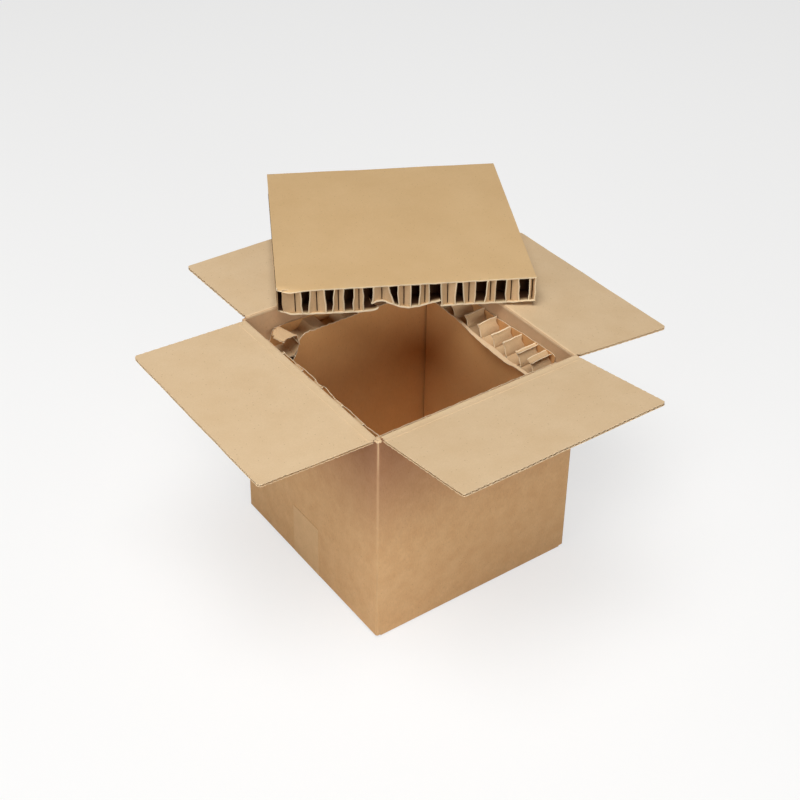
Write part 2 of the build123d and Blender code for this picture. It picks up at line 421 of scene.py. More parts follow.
@dataclass
class CartonWalls:
    """The carton's walls and bottom, and its tape: CAD nodes that get their paper."""

    nodes: dict[str, bpy.types.Object]
    flute_pitch: float = 6.4
    washboard: float = 0.12      # height of the flutes' waves beside that of the fibres
    fold_highlight_and_wear: str = "#DAB892"   # painted highlight on the upright folds near the rim, partly pale wear
    fold_painted_shade: str = "#9A7B59"   # painted shade on the same folds lower down
    fold_patch: float = 30.0     # millimetres across a patch of the fold marks
    painted_rim_shade: str = "#BDACAF"   # painted shade: what the outside's colour is multiplied by under the flaps
    rim_z: float = 254.0
    shade_end_z: float = 90.0
    fold_blend_low_z: float = 110.0
    inner_half_x: float = 124.6  # past the walls' inside faces, short of their outside faces
    inner_half_y: float = 126.6
    floor_top: float = 3.2

    def board_material(self) -> bpy.types.Material:
        """Make the board's material: brown outside with painted shade under the flaps, an inside drawn
        darker with painted shade, washboarded, with a painted highlight, partly pale wear, on its folds
        near the rim and painted shade on them lower down.

        Returns:
            The material.
        """
        made = bpy.data.materials.new("single_wall_corrugated_board")
        made.use_nodes = True
        tree = made.node_tree
        where = add_node(tree, "ShaderNodeTexCoord").outputs["Object"]
        outside, pattern = BOARD_OUTSIDE.base(tree, where)
        # The walls' inside faces take the darker paper: painted shade inside the box
        inside, _ = WALL_INSIDE_SHADED.base(tree, where)
        parts = add_node(tree, "ShaderNodeSeparateXYZ", {}, {}, {0: where})
        # A point is inside when it is above the floor and within both pairs of walls
        held = add_node(tree, "ShaderNodeMath", {"operation": "GREATER_THAN"}, {1: self.floor_top * MM},
                        {0: parts.outputs[2]})
        for axis, limit in ((0, self.inner_half_x), (1, self.inner_half_y)):
            far = add_node(tree, "ShaderNodeMath", {"operation": "ABSOLUTE"}, {}, {0: parts.outputs[axis]})
            test = add_node(tree, "ShaderNodeMath", {"operation": "LESS_THAN"}, {1: limit * MM},
                            {0: far.outputs[0]})
            held = add_node(tree, "ShaderNodeMath", {"operation": "MULTIPLY"}, {},
                            {0: held.outputs[0], 1: test.outputs[0]})
        # Painted shade of the flaps: the outside is drawn browner and redder towards the rim, under the
        # flaps
        fade = add_node(tree, "ShaderNodeMapRange", {"interpolation_type": "SMOOTHSTEP"},
                        {"From Min": self.shade_end_z * MM, "From Max": self.rim_z * MM},
                        {"Value": parts.outputs[2]})
        shade = add_node(tree, "ShaderNodeMix", {"data_type": "RGBA"},
                         {6: (1.0, 1.0, 1.0, 1.0), 7: srgb(self.painted_rim_shade)}, {0: fade.outputs[0]})
        rim_shaded_outside = add_node(tree, "ShaderNodeVectorMath", {"operation": "MULTIPLY"}, {},
                           {0: outside, 1: shade.outputs[2]})
        face = add_node(tree, "ShaderNodeMix", {"data_type": "RGBA"}, {},
                        {0: held.outputs[0], 6: rim_shaded_outside.outputs[0], 7: inside})
        # Mask of the folds, which take painted highlight and painted shade
        fold_mask = CornerMask().build(tree, where)
        patchy = add_node(tree, "ShaderNodeTexNoise", {},
                          {"Scale": 1 / (self.fold_patch * MM), "Detail": 3.0}, {"Vector": where})
        uneven = add_node(tree, "ShaderNodeMath", {"operation": "MULTIPLY"}, {},
                          {0: fold_mask, 1: patchy.outputs["Fac"]})
        # A painted highlight, partly pale wear, on the folds near the rim; lower down, painted shade on
        # them
        height_share = add_node(tree, "ShaderNodeMapRange", {},
                                {"From Min": self.fold_blend_low_z * MM, "From Max": self.rim_z * MM},
                                {"Value": parts.outputs[2]})
        fold_light_and_shade = add_node(tree, "ShaderNodeMix", {"data_type": "RGBA"},
                          {6: srgb(self.fold_painted_shade), 7: srgb(self.fold_highlight_and_wear)},
                          {0: height_share.outputs[0]})
        fold_marked = add_node(tree, "ShaderNodeMix", {"data_type": "RGBA"}, {},
                        {0: uneven.outputs[0], 6: face.outputs[2], 7: fold_light_and_shade.outputs[2]})
        # The upright flutes press faint waves into the walls: a sine over x + y, one wave per flute
        across = add_node(tree, "ShaderNodeMath", {"operation": "ADD"}, {},
                          {0: parts.outputs[0], 1: parts.outputs[1]})
        turns = add_node(tree, "ShaderNodeMath", {"operation": "MULTIPLY"},
                         {1: 2 * np.pi / (self.flute_pitch * MM)}, {0: across.outputs[0]})
        wave = add_node(tree, "ShaderNodeMath", {"operation": "SINE"}, {}, {0: turns.outputs[0]})
        height = add_node(tree, "ShaderNodeMath", {"operation": "MULTIPLY_ADD"}, {1: self.washboard},
                          {0: wave.outputs[0], 2: pattern})
        BOARD_OUTSIDE.finish(tree, fold_marked.outputs[2], height.outputs[0])
        return made

    def tape_material(self) -> bpy.types.Material:
        """Make the tape's material: gummed paper.

        Returns:
            The material.
        """
        made = bpy.data.materials.new(TAPE.name)
        made.use_nodes = True
        tree = made.node_tree
        where = add_node(tree, "ShaderNodeTexCoord").outputs["Object"]
        colour, pattern = TAPE.base(tree, where)
        TAPE.finish(tree, colour, pattern)
        return made

    def dress(self) -> None:
        """Give the carton, its tape and its floor pad their materials."""
        board = self.board_material()
        for node, material in (("carton_body", board), ("bottom_tape", self.tape_material()),
                               ("bottom_pad", FACING.material())):
            mesh = self.nodes[node].data
            mesh.materials.clear()
            mesh.materials.append(material)
            log.info("%s: dressed", node)


@dataclass
class CrushedCorner:
    """The paper that is crushed and torn where the front and left flaps part.

    It lies beyond the side edges of both flaps, which end at x -121 and y -123, so that it is
    clear of them wherever they stand.
    """

    middle: Point = (-125.1, -127.2, 258.3)
    width: float = 5.4
    length: float = 5.4
    # Each scrap's shift along X and Y and its size beside the first one's
    scraps: tuple[Point, ...] = ((0.0, 0.0, 1.0), (2.5, 3.0, 0.6))
    steps: int = 22             # points along each side of a scrap
    creased: float = 12.0       # length of wave pattern that one scrap shows
    crease: float = 2.0         # height of the creases
    ragged: float = 0.9         # how far an edge strays
    rise: float = 1.2
    liner: float = 0.4          # thickness of the paper
    seed: int = 300

    def build(self, paper: bpy.types.Material) -> bpy.types.Object:
        """Build two crumpled scraps.

        A scrap's height is a sum of sine waves along it and across it, high in its middle and
        falling to its edges with the product of two half sine waves.

        Args:
            paper: The board's inside paper.

        Returns:
            The scraps' object.
        """
        share = np.linspace(0, 1, self.steps)
        place = share * self.creased
        dome = np.sin(np.pi * share)[:, None] * np.sin(np.pi * share)[None, :]
        shells = []
        for number, (shift_x, shift_y, size) in enumerate(self.scraps):
            seed = self.seed + number
            fold = (ripple(place + 5 * number, seed, 3, self.crease)[:, None]
                    + ripple(place, seed + 10, 3, self.crease)[None, :])
            edge_x = ripple(place, seed + 20, 5, self.ragged)[None, :]
            edge_y = ripple(place, seed + 30, 5, self.ragged)[:, None]
            x = self.middle[0] + shift_x + size * ((share[:, None] - 0.5) * self.width + edge_x)
            y = self.middle[1] + shift_y + size * ((share[None, :] - 0.5) * self.length + edge_y)
            z = self.middle[2] + size * (self.rise * dome + self.rise * fold * dome)
            shells.append(thin_sheet(grid(x, y, z), self.liner, np.full(self.steps - 1, 0.2)))
        piece = build_piece("crushed_corner_paper", shells)
        piece.data.materials.append(paper)
        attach(piece, "carton")
        return piece


@dataclass
class Flap:
    """One top flap of single-wall board, fluting and all, and the paper over its score."""

    name: str
    turn: float                 # degrees about Z of the wall it hangs on, 0 for +X
    half: float                 # wall face from the middle of the box
    score: float                # height of its score
    angle: float                # degrees above level
    width: float
    seed: int
    length: float = 127.0       # wall face to free edge
    board: float = 3.0
    hinge_offset: float = 1.7
    corner: float = 4.0         # radius of a free corner
    liner: float = 0.45         # thickness of each face paper
    medium: float = 0.35        # thickness of the fluting paper
    pitch: float = 6.4          # from flute to flute
    bow: float = 0.8            # how far the free edge has warped up
    squeeze: float = 0.22       # share of its thickness that the board loses at the score
    ragged: float = 0.45        # how far the cut side edges stray
    score_liner: float = 0.3    # thickness of the paper over the score

    def placement(self) -> Placement:
        """Work out the flap's frame.

        Returns:
            The frame: X out over the flap, Y along the score, Z out of its upper face.
        """
        turn, tilt = np.radians([self.turn, self.angle])
        out = np.array([np.cos(turn), np.sin(turn), 0.0])
        origin = out * (self.half + self.hinge_offset) + np.array([0, 0, self.score - self.board / 2])
        x_dir = out * np.cos(tilt) + np.array([0, 0, np.sin(tilt)])
        return Placement(tuple(origin), tuple(x_dir), (-out[1], out[0], 0.0))

    def reach(self, across: Array) -> Array:
        """Length of the flap at each place along the score.

        The free corners are quarter circles, so near a side the length falls by the corner
        radius less the height of the circle there.

        Args:
            across: Places along the score, in millimetres.

        Returns:
            Distance of the free edge from the hinge line.
        """
        into = np.clip(np.abs(across) - (self.width / 2 - self.corner), 0, self.corner)
        drop = self.corner - np.sqrt(self.corner ** 2 - into ** 2)
        return self.length - self.hinge_offset - drop + ripple(across, self.seed, 90, 0.3)

    def layer(self, across: Array, steps: int, height: Array, root: float) -> Array:
        """Spread one layer of the board between the score and the free edge.

        Args:
            across: Places along the score.
            steps: Rows from the score to the free edge.
            height: Height of the layer at each place along the score.
            root: Where the layer starts, from the hinge line.

        Returns:
            The layer's middle surface. It lies at its height, squeezed towards the middle of
            the board near the score, and warps up with the square of the distance.
        """
        share = np.linspace(0, 1, steps)[:, None]
        out = root + share * (self.reach(across) - root)[None, :]
        squeeze = 1 - self.squeeze * np.exp(-(out / 3.0) ** 2)
        settle = self.bow * (out / self.length) ** 2 * (1 + 0.3 * ripple(across, self.seed + 7, 200, 1))
        side = np.clip((np.abs(across) - self.width / 2 + 2) / 2, 0, 1) * np.sign(across)
        uneven = side[None, :] * ripple(out, self.seed + 20, 9, self.ragged)
        return grid(out, across[None, :] + uneven, height[None, :] * squeeze + settle)

    def build(self) -> bpy.types.Object:
        """Build the board: two liners with a sine-shaped fluting sheet between them.

        Returns:
            The flap's object.
        """
        side = self.width / 2
        rounding = side - self.corner * (1 - np.sin(np.linspace(0, np.pi / 2, 7)))
        flat = np.linspace(-side + self.corner, side - self.corner, 60)[1:-1]
        across = np.concatenate([-rounding[::-1], flat, rounding])
        face = (self.board - self.liner) / 2
        level = np.ones(len(across))
        crest = face - self.liner / 2 - self.medium / 2
        places = np.linspace(-side + 0.2, side - 0.2, int(self.width / self.pitch) * 12 + 1)
        phase = 2 * np.pi * places / self.pitch + ripple(places, self.seed + 3, 60, 0.5)
        wave = crest * np.sin(phase)
        shells = [thin_sheet(self.layer(across, 90, face * level, 0.6), self.liner),
                  thin_sheet(self.layer(across, 90, -face * level, 0.6), self.liner),
                  thin_sheet(self.layer(places, 6, wave, 3.0), self.medium)]
        return build_piece(f"{self.name}_board", shells, self.placement())

    def score_strip(self, paper: bpy.types.Material) -> bpy.types.Object:
        """Build the inner liner paper where it bends from the wall over to the flap.

        The strip's cross-section is a smooth line up the wall's inner face, over its rim and
        onto the flap; it is carried straight along the score.

        Args:
            paper: The board's inside paper.

        Returns:
            The strip's object.
        """
        turn, tilt = np.radians([self.turn, self.angle])
        inner = self.half - self.board
        hinge = np.array([self.half + self.hinge_offset, self.score - self.board / 2])
        over = np.array([np.cos(tilt), np.sin(tilt)])
        up = np.array([-np.sin(tilt), np.cos(tilt)])
        on_flap = [hinge + over * far + up * (self.board / 2 + 0.12) for far in (1.4, 3.4, 5.6)]
        control = np.array([(inner - 0.12, self.score - 3.4), (inner - 0.14, self.score - 2.4),
                            (inner - 0.05, self.score - 1.2), (inner + 0.8, self.score - 0.05),
                            (inner + 2.2, self.score + 0.28), *on_flap])
        knots = np.linspace(0, len(control) - 1, 29)
        line = smooth_line(control, knots)
        along = np.linspace(-self.width / 2 + 0.6, self.width / 2 - 0.6, 50)
        out = np.array([np.cos(turn), np.sin(turn)])
        side = np.array([-out[1], out[0]])
        lift = ripple(along, self.seed + 11, 40, 0.1)[None, :]
        middle = grid(line[:, :1] * out[0] + along * side[0], line[:, :1] * out[1] + along * side[1],
                      line[:, 1:] + lift * np.hanning(len(line))[:, None])
        piece = build_piece(f"{self.name}_score_paper", [thin_sheet(middle, self.score_liner)])
        piece.data.materials.append(paper)
        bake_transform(piece)
        return piece

    def dress(self, paper: bpy.types.Material) -> None:
        """Build the flap, give it its paper and hang it on its body.

        Args:
            paper: The board's inside paper.
        """
        board = self.build()
        board.data.materials.append(paper)
        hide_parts(self.name)
        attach(board, self.name)
        self.score_strip(paper)


def smooth_line(control: Array, where: Array) -> Array:
    """Draw a smooth line through points.

    Between two points the line is a cubic whose slope at each point is half the step from
    the point before to the point after it (a Catmull-Rom line).

    Args:
        control: The points, n x d.
        where: Places on the line, in steps from point to point.

    Returns:
        The places' positions.
    """
    padded = np.concatenate([2 * control[:1] - control[1:2], control,
                             2 * control[-1:] - control[-2:-1]])
    step = np.clip(np.floor(where).astype(int), 0, len(control) - 2)
    t = (where - step)[:, None]
    before, start, end, after = (padded[step + offset] for offset in range(4))
    return 0.5 * (2 * start + (end - before) * t
                  + (2 * before - 5 * start + 4 * end - after) * t ** 2
                  + (3 * start - before - 3 * end + after) * t ** 3)


class RibbonRun(Enum):
    """Which way the ribbons of a wall liner run."""

    ALONG_WALL = "along"
    UP_WALL = "up"


@dataclass
class HoneycombCore:
    """Paper ribbons glued to each other on staggered flats and pulled open into cells."""

    across_flats: float = 23.1
    ribbon: float = 0.8         # thickness of the ribbon paper; real paper is thinner

    @property
    def side(self) -> float:
        """Length of a glued flat, a side of a regular hexagon."""
        return self.across_flats / np.sqrt(3)

    @property
    def rise(self) -> float:
        """Length of a slant, measured along the ribbon: half a side."""
        return self.across_flats / np.sqrt(12)

    @property
    def period(self) -> float:
        """Length of the pattern along a ribbon: two flats and two slants."""
        return 2 * (self.side + self.rise)

    def opening(self, along: Array, phase: float) -> Array:
        """Share by which the two ribbons of a pair stand apart.

        It is 0 on the pair's glued flat, which is centred on the phase, rises to 1 over the
        slant, stays 1 on the flat that each shares with its other neighbour, and falls again.

        Args:
            along: Places along the ribbons.
            phase: Middle of a glued flat.

        Returns:
            The share at each place.
        """
        place = np.mod(np.asarray(along) - phase + self.side / 2, self.period)
        folds = np.cumsum([0.0, self.side, self.rise, self.side, self.rise])
        return np.interp(place, folds, [0.0, 0.0, 1.0, 1.0, 0.0])

    def stations(self, start: float, end: float, phase: float) -> Array:
        """List the places along a ribbon that its surface needs: folds, ends and middles.

        Args:
            start: Start of the ribbon.
            end: End of the ribbon.
            phase: Middle of a glued flat.

        Returns:
            The sorted places.
        """
        first = int(np.floor((start - phase) / self.period)) - 1
        last = int(np.ceil((end - phase) / self.period)) + 1
        middles = phase + self.period * np.arange(first, last + 1)
        steps = np.cumsum([-self.side / 2, self.side / 2, self.side / 2, self.rise, self.side / 2,
                           self.side / 2])
        folds = (middles[:, None] + steps).ravel()
        inside = folds[(folds > start + 0.2) & (folds < end - 0.2)]
        return np.concatenate([[start], inside, [end]])

    def offset(self, opening: Array, upper: bool) -> Array:
        """Work out how far a ribbon's middle lies from its pair's glue line.

        Args:
            opening: The pair's opening shares.
            upper: Whether it is the pair's upper or right-hand ribbon.

        Returns:
            Half the paper plus the opening share times the room to the next glue line.
        """
        travel = self.across_flats / 2 - self.ribbon
        sign = 1.0 if upper else -1.0
        return sign * (self.ribbon / 2 + opening * travel)


@dataclass
class WallLiner:
    """One honeycomb panel standing against a wall: inner sheet, ribbons and outer sheet."""

    name: str
    turn: float
    half: float                       # wall face from the middle of the box
    width: float
    run: RibbonRun
    core: HoneycombCore
    phase: float                      # middle of a glued flat, along the ribbons
    first_pair: float                 # place of one glued pair, across the ribbons
    inner_top: Profile                # height of the inner sheet at places along the wall
    core_top: Profile                 # the same for the ribbons
    outer_top: Profile                # the same for the outer sheet
    seed: int
    lip: Profile = ((0.0, 0.0),)      # width of the folded-in top lip
    lip_radius: float = 1.5
    bend_reach: float = 13.0          # how far below the cut upright ribbons start to bend
    # Glued pair, shift of the whole pair, bend of its top inside and outside
    bends: tuple[tuple[int, float, float, float], ...] = ()
    torn: float = 0.0                 # how ragged the inner sheet's top edge is
    outer_rise: float = 0.0           # how much higher upright ribbons end at the outer sheet
    curl: Array | None = None         # torn-up piece of ribbon: see torn_curl
    board: float = 3.0                # thickness of the carton's wall
    fit_gap: float = 0.5              # between the wall and the liner
    panel: float = 27.0               # thickness of the liner
    sheet: float = 0.8                # thickness of a facing sheet
    base: float = 33.0                # height of its foot, on the floor pad

    def placement(self) -> Placement:
        """Work out the liner's frame.

        Returns:
            The frame: X along the wall, Y up from its foot, Z out from its inner face.
        """
        turn = np.radians(self.turn)
        out = np.array([np.cos(turn), np.sin(turn), 0.0])
        origin = out * (self.half - self.board - self.fit_gap - self.panel)
        return Placement((origin[0], origin[1], self.base), (-out[1], out[0], 0.0), (0.0, 0.0, 1.0))

    def height(self, profile: Profile, along: Array) -> Array:
        """Read a top line, given as heights above the carton's base, above the liner's foot."""
        places, heights = np.array(profile).T
        return np.interp(along, places, heights) - self.base

    def inner_sheet(self) -> Shell:
        """Build the inner facing sheet, with its uneven top edge and its folded-in lip.

        A point at share s of the sheet's height stands straight up to the top line. Past it,
        the lip leaves on a quarter turn and runs nearly level into the box.

        Returns:
            The sheet.
        """
        along = np.linspace(-self.width / 2, self.width / 2, 181)
        top = self.height(self.inner_top, along) + ripple(along, self.seed, 22, 0.5)
        top = top + ripple(along, self.seed + 9, 8, self.torn)
        places, widths = np.array(self.lip).T
        lip = np.interp(along, places, widths)
        share = np.concatenate([np.linspace(0, 0.8, 9), np.linspace(0.84, 0.98, 7), [0.996, 1.0]])[:, None]
        straight = share * top[None, :]
        bulge = ripple(along, self.seed + 1, 120, 0.5)[None, :] * share
        rise = grid(along[None, :], straight, self.sheet / 2 + bulge)
        fold = np.linspace(0.15, 1, 7)[:, None]
        quarter = np.minimum(lip, self.lip_radius)[None, :]
        bend = np.clip(fold * 3, 0, 1) * np.pi / 2
        level = np.clip(fold * 1.5 - 0.5, 0, 1) * (lip[None, :] - quarter)
        inward = quarter * (1 - np.cos(bend)) + level
        upward = quarter * np.sin(bend) - 0.12 * level
        last = rise[-1]
        lipped = grid(along[None, :], last[None, :, 1] + upward + 0.02 * fold,
                      last[None, :, 2] - inward)
        middle = np.concatenate([rise, lipped]) if lip.max() > 0 else rise
        frayed = np.zeros(len(middle) - 1)
        frayed[len(rise) - 2:] = 0.7
        return thin_sheet(middle, self.sheet, frayed)

    def outer_sheet(self) -> Shell:
        """Build the outer facing sheet.

        Returns:
            The sheet: flat, each column a share of the height of its uneven top edge.
        """
        along = np.linspace(-self.width / 2, self.width / 2, 81)
        top = self.height(self.outer_top, along) + ripple(along, self.seed + 2, 30, 0.4)
        share = np.linspace(0, 1, 8)[:, None]
        return thin_sheet(grid(along[None, :], share * top[None, :], self.panel - self.sheet / 2),
                          self.sheet)

    def ribbons(self) -> list[Shell]:
        """Build the core's ribbons, cut off at the liner's four edges.

        Returns:
            One sheet for each ribbon, or for each piece of it that the cut leaves.
        """
        shells = self.upright_ribbons() if self.run is RibbonRun.UP_WALL else self.level_ribbons()
        if self.curl is not None:
            pale = np.zeros(self.curl.shape[0] - 1)
            pale[-5:] = 0.8
            shells.append(thin_sheet(self.curl, self.core.ribbon, pale))
        return shells

    def upright_ribbons(self) -> list[Shell]:
        """Build ribbons that run up the wall.

        A ribbon's place along the wall is its pair's glue line plus its offset for the opening
        at that height. Near the top it is bent by an amount given for each pair, eased in over
        the last stretch and different at the inner and outer sheet.

        Returns:
            The ribbons.
        """
        core = self.core
        across = np.array([0.0, 0.12, 0.35, 0.65, 0.88, 1.0])[None, :]
        room = self.panel - 2 * self.sheet
        half = self.width / 2
        first = int(np.ceil((-half - self.first_pair) / core.across_flats)) - 1
        last = int(np.floor((half - self.first_pair) / core.across_flats)) + 1
        bends = {number: (shift, inside, outside) for number, shift, inside, outside in self.bends}
        shells = []
        for number in range(first, last + 1):
            pair = self.first_pair + number * core.across_flats
            top = float(self.height(self.core_top, np.array([np.clip(pair, -half, half)]))[0])
            shift, inside, outside = bends.get(number, (0.0, 0.0, 0.0))
            for upper in (False, True):
                up = core.stations(0.0, top, self.phase)
                up = np.unique(np.concatenate([up, top - np.array([0.5, 2.0, 4.0, 6.0, 9.0, 12.0, 16.0])]))
                line = pair + shift + core.offset(core.opening(up, self.phase), upper)
                near = ease((up - (top - self.bend_reach)) / self.bend_reach)[:, None]
                bend = near * (inside * (1 - across) + outside * across)
                sway = ripple(up, self.seed + number * 2 + upper, 70, 0.5)[:, None]
                dent = ripple(up[:, None] + 19 * across, self.seed + 3 * number, 17, 0.7) * near
                along = np.clip(line[:, None] + bend + sway * across + dent, -half + 0.4, half - 0.4)
                if np.ptp(along) < 0.5:
                    continue
                # The paper has come off both sheets below the cut, by up to two millimetres
                gap = np.exp(-((top - up - 5) / 2.5) ** 2)[:, None]
                loose = gap * (2.2 * across ** 6 - 1.4 * (1 - across) ** 6)
                deep = self.sheet + across * room - loose
                ragged = near * (ripple(across * room + 37 * number, self.seed + 5, 14, 0.7)
                                 + self.outer_rise * across)
                frayed = np.zeros(len(up) - 1)
                frayed[-1] = 0.8
                shells.append(thin_sheet(grid(along, up[:, None] + ragged, deep), core.ribbon, frayed))
        return shells

    def level_ribbons(self) -> list[Shell]:
        """Build ribbons that run along the wall.

        A ribbon's height is its pair's glue line plus its offset for the opening at that
        place. Where a ribbon would rise past the top line, only its stretches below stay.

        Returns:
            The ribbons.
        """
        core = self.core
        deep = self.sheet + np.array([0.0, 0.5, 1.0]) * (self.panel - 2 * self.sheet)
        half = self.width / 2
        along = core.stations(-half, half, self.phase)
        fine = np.unique(np.concatenate([along, (along[1:] + along[:-1]) / 2]))
        opening = core.opening(fine, self.phase)
        top = self.height(self.core_top, fine)
        shells = []
        pair = self.first_pair - self.base
        while pair > -core.across_flats:
            for upper in (True, False):
                line = pair + core.offset(opening, upper)
                sag = ripple(fine, self.seed + int(pair) + upper, 50, 0.4)
                line = np.maximum(line + sag, 0.4)
                for piece_along, piece_line in stretches_below(fine, line, top):
                    ragged = ripple(deep + 5 * piece_along[0], self.seed + 4, 12, 0.3)[None, :]
                    near = (piece_line > top.max() - 4)[:, None] * ragged
                    shells.append(thin_sheet(grid(piece_along[:, None], piece_line[:, None] + near,
                                                  deep[None, :]), core.ribbon))
            pair -= core.across_flats
        return shells

    def dress(self, lining: bpy.types.Material, ribbon: bpy.types.Material) -> None:
        """Build the three layers, give them their papers and stand them in the carton.

        Args:
            lining: Paper of the two sheets.
            ribbon: Paper of the ribbons.
        """
        layers = (("inner_sheet", [self.inner_sheet()], lining, "facing_paper"),
                  ("core", self.ribbons(), ribbon, "ribbon_paper"),
                  ("outer_sheet", [self.outer_sheet()], lining, "facing_paper"))
        for layer, shells, paper, slot in layers:
            node = f"{self.name}_liner_{layer}"
            piece = build_piece(f"{node}_paper", shells, self.placement())
            piece.data.materials.append(paper)
            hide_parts(node)
            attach(piece, "carton")


def torn_curl() -> Array:
    """Shape the ribbon that is torn open and curled up at the left end of the back liner.

    Its cross-section is a smooth line up a slant, over a flat top and round a rolled lip. Along
    the curl the line shifts sideways: its right-hand fold by 6 mm in proportion to the depth, its
    lip by a measured bulge, each in proportion to how far up the line the point is.

    Returns:
        The middle surface in the liner's frame.
    """
    control = np.array([(73.0, 189.6), (75.2, 197.5), (76.6, 202.6), (79.0, 203.9), (85.0, 203.4),
                        (90.5, 202.9), (93.4, 202.3), (94.2, 201.0), (92.8, 200.3)])
    line = smooth_line(control, np.linspace(0, len(control) - 1, 33))
    deep = np.linspace(-1.2, 22.5, 15)
    back = (deep + 1.2) / 23.7
    right = 6.1 * back
    left = np.interp(back, [0, 0.3, 0.46, 0.7, 0.85, 1], [0.0, 3.2, 4.1, 2.0, 0.4, -2.5])
    left = left + ripple(deep, 104, 7, 1.3)
    along_line = np.clip((line[:, :1] - 77.3) / 16.7, 0, 1)
    hold = ease((line[:, 1:] - 190) / 12)
    shift = hold * ((1 - along_line) * right + along_line * left)
    front = ripple(line[:, :1], 105, 7, 0.9) * np.exp(-back * 8)
    lift = ripple(line[:, :1] + 3 * back, 106, 12, 0.7) * hold
    return grid(line[:, :1] + shift, line[:, 1:] + lift, deep[None, :] + front)


def stretches_below(along: Array, line: Array, top: Array) -> list[tuple[Array, Array]]:
    """Cut a line off where it passes a top line, and keep the stretches below.

    Where the line crosses the top between two places, the stretch ends at the crossing, found
    by straight interpolation of the height left to the top.

    Args:
        along: Places along the line.
        line: Its height at each place.
        top: Height of the cut at each place.

    Returns:
        The places and heights of each stretch.
    """
    room = top - line
    crossing = np.nonzero(room[:-1] * room[1:] < 0)[0]
    share = room[crossing] / (room[crossing] - room[crossing + 1])
    cut_at = along[crossing] + share * (along[crossing + 1] - along[crossing])
    places = np.sort(np.concatenate([along, cut_at]))
    heights = np.interp(places, along, line)
    below = np.interp(places, along, room) > -1e-6
    starts = np.nonzero(below & ~np.concatenate([[False], below[:-1]]))[0]
    ends = np.nonzero(below & ~np.concatenate([below[1:], [False]]))[0]
    return [(places[start:end + 1], heights[start:end + 1])
            for start, end in zip(starts, ends) if end - start >= 1]


@dataclass(frozen=True)
class CutCell:
    """A cell that the pad's front edge cuts open, measured from the pad's left corner.

    Its two walls start at the cut and meet on their glue line just behind it.
    """

    glue: float
    left_top: float
    left_foot: float
    right_top: float
    right_foot: float


FRONT_CELLS = (
    CutCell(19.0, 5.5, 5.5, 25.3, 26.4), CutCell(42.0, 35.2, 32.5, 50.4, 52.3),
    CutCell(64.9, 60.5, 58.0, 70.2, 70.8), CutCell(86.7, 81.3, 79.7, 90.6, 91.5),
    CutCell(111.1, 101.9, 100.2, 117.8, 124.0), CutCell(134.6, 127.3, 128.7, 141.8, 141.9),
    CutCell(157.0, 151.7, 150.3, 161.3, 161.5), CutCell(181.5, 173.3, 174.5, 190.5, 189.4),
    CutCell(204.3, 196.4, 199.1, 210.9, 210.8), CutCell(227.5, 223.8, 221.0, 232.7, 231.8),
    CutCell(250.0, 243.7, 243.4, 257.4, 258.7), CutCell(272.8, 269.1, 269.1, 275.4, 275.4),
)


